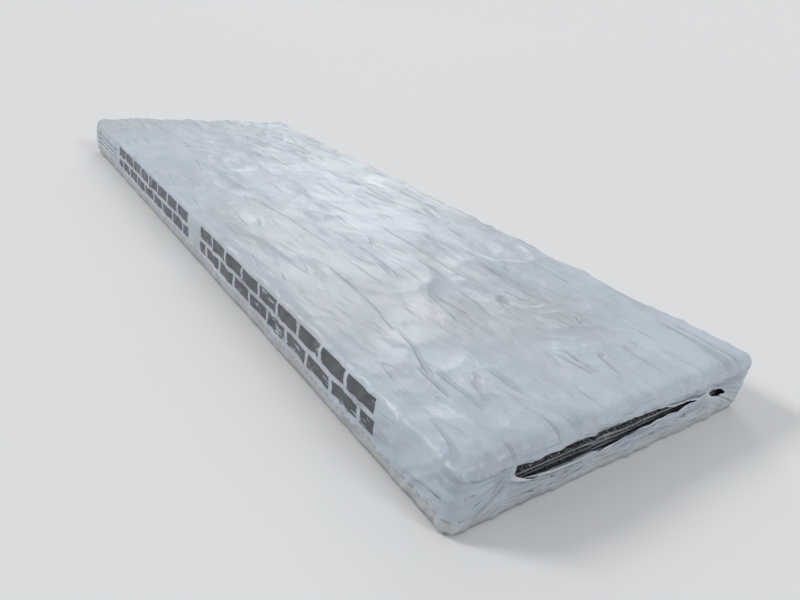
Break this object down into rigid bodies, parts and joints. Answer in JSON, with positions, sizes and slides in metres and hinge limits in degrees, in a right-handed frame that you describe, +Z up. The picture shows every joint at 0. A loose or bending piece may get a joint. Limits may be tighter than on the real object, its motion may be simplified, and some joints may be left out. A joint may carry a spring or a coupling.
{
  "type": "asphalt shingle bundle",
  "caption": "Flat bundle of laminated asphalt roof shingles, stacked alternately face up and face down in a shrunk pale film sleeve with open ends.",
  "frame": {"origin": "middle of the face that the bundle lies on", "axes": "+X along the shingles, +Y across them, +Z up through the thickness"},
  "size_m": [1.0206, 0.3576, 0.0562],
  "materials": {
    "shingle": "rough mineral granules",
    "film": "satin creased film"
  },
  "bodies": {
    "root": {"shingle_01": "shingle", "shingle_02": "shingle", "shingle_03": "shingle", "shingle_04": "shingle", "shingle_05": "shingle", "shingle_06": "shingle", "shingle_07": "shingle", "shingle_08": "shingle", "shingle_09": "shingle", "shingle_10": "shingle", "shingle_11": "shingle", "shingle_12": "shingle", "shingle_13": "shingle", "shingle_14": "shingle", "shingle_15": "shingle", "shingle_16": "shingle", "film_wrap": "film"}
  },
  "joints": []
}
